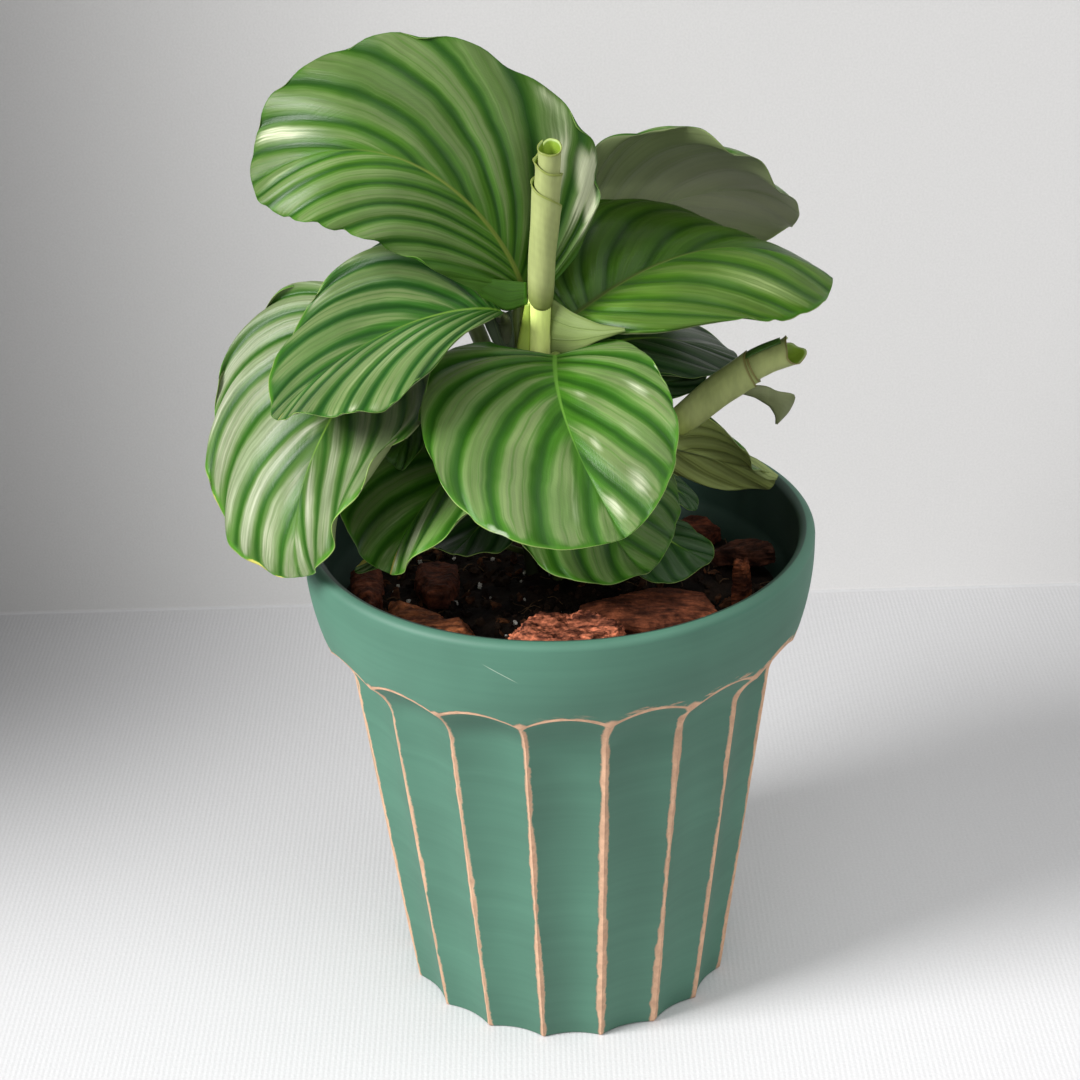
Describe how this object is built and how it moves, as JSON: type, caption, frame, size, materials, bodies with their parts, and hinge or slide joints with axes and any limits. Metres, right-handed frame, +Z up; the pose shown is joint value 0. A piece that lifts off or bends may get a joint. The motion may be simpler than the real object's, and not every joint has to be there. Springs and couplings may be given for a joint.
{
  "type": "potted foliage plant",
  "caption": "Round-leaved striped foliage plant with rolled new leaves, in bark-topped soil in a flared, fluted round pot.",
  "frame": {"origin": "centre of the flat underside of the pot's foot", "axes": "+Z up; the picture looks along +Y; +X to the right in it"},
  "size_m": [0.2427, 0.2117, 0.3905],
  "materials": {
    "pot_paint": "matt sage green paint, brushed on, worn to the clay on the ridges and arches",
    "soil": "dark moist potting mix with white perlite grains",
    "striped_leaf": "satin leaf, dark green with pale silvery bands between the veins, grey-green underneath",
    "rolled_leaf": "pale yellow-green underside of a furled leaf",
    "bark": "rough reddish-brown bark chips"
  },
  "bodies": {
    "root": {"pot": "pot_paint", "soil": "soil", "leaf_top_left": "striped_leaf", "leaf_left": "striped_leaf", "leaf_left_low": "striped_leaf", "leaf_front_left": "striped_leaf", "leaf_front": "striped_leaf", "leaf_front_low": "striped_leaf", "leaf_right_low": "striped_leaf", "leaf_back_right": "striped_leaf", "leaf_right": "striped_leaf", "leaf_right_rear": "striped_leaf", "leaf_over_rim": "striped_leaf", "leaf_left_small": "striped_leaf", "leaf_left_ground": "striped_leaf", "leaf_left_scrap": "striped_leaf", "leaf_rear_low": "striped_leaf", "leaf_right_small": "striped_leaf", "rolled_leaf_upright": "rolled_leaf", "rolled_leaf_leaning": "rolled_leaf", "bark_left_wall": "bark", "bark_front_left": "bark", "bark_left": "bark", "bark_chunk": "bark", "bark_slab": "bark", "bark_shard": "bark", "bark_right_wall": "bark", "bark_right_rear": "bark", "bark_rear_left": "bark", "bark_rear": "bark", "bark_right": "bark"}
  },
  "joints": []
}
